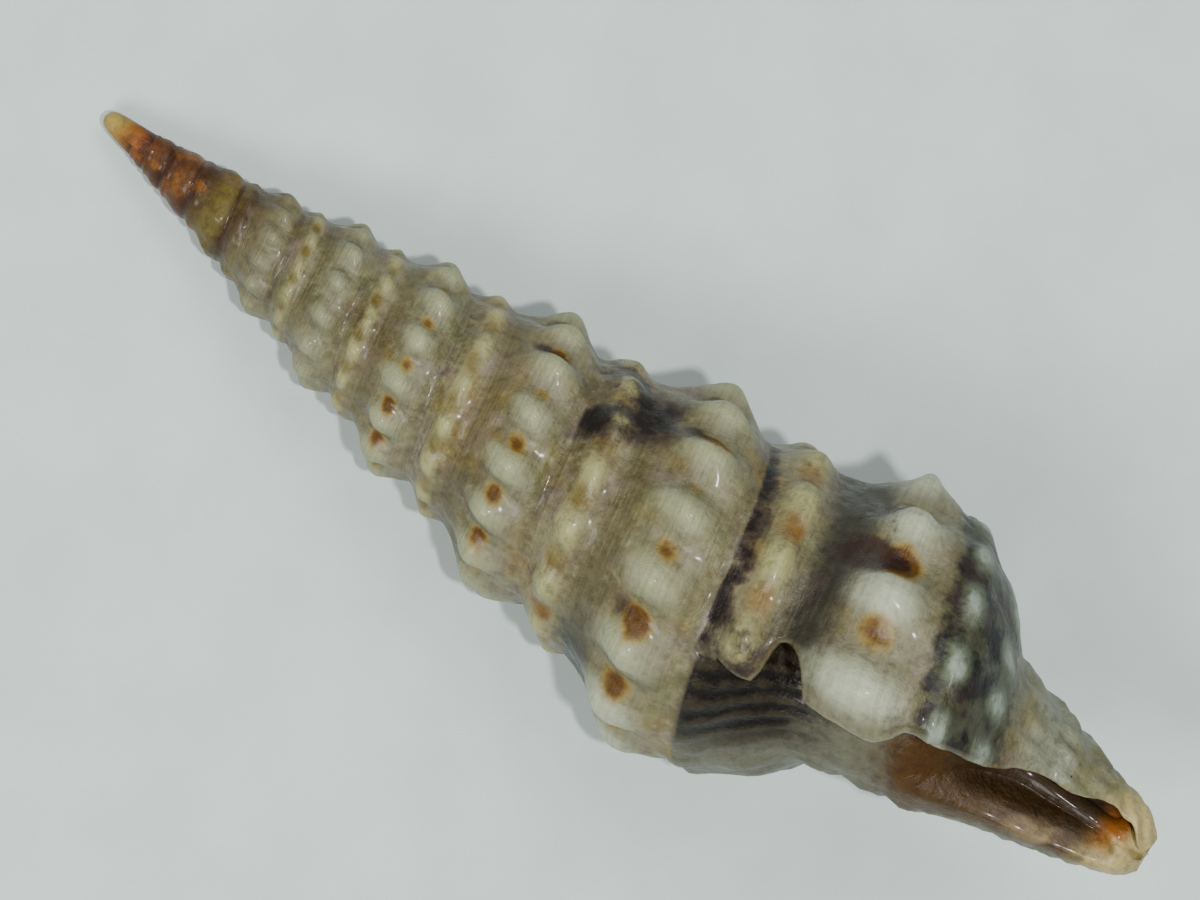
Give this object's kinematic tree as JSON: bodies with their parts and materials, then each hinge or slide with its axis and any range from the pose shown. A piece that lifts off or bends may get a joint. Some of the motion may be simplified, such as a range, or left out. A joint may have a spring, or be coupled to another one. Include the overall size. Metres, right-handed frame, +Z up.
{
  "type": "sea shell",
  "caption": "Slender spired sea shell with knobbed whorls, a beaded base, a notched outer lip and an open siphonal canal, lying on its side.",
  "frame": {"origin": "centre of the bounding box at the height of the surface that the shell lies on", "axes": "+X from the apex to the canal tip, +Z up, +Y towards the shell's dorsal side"},
  "size_m": [0.0244, 0.0078, 0.0086],
  "materials": {
    "shell": "glossy, wet-looking calcium carbonate, cream knobs on grey-olive with brown spots"
  },
  "bodies": {
    "root": {"shell": "shell"}
  },
  "joints": []
}
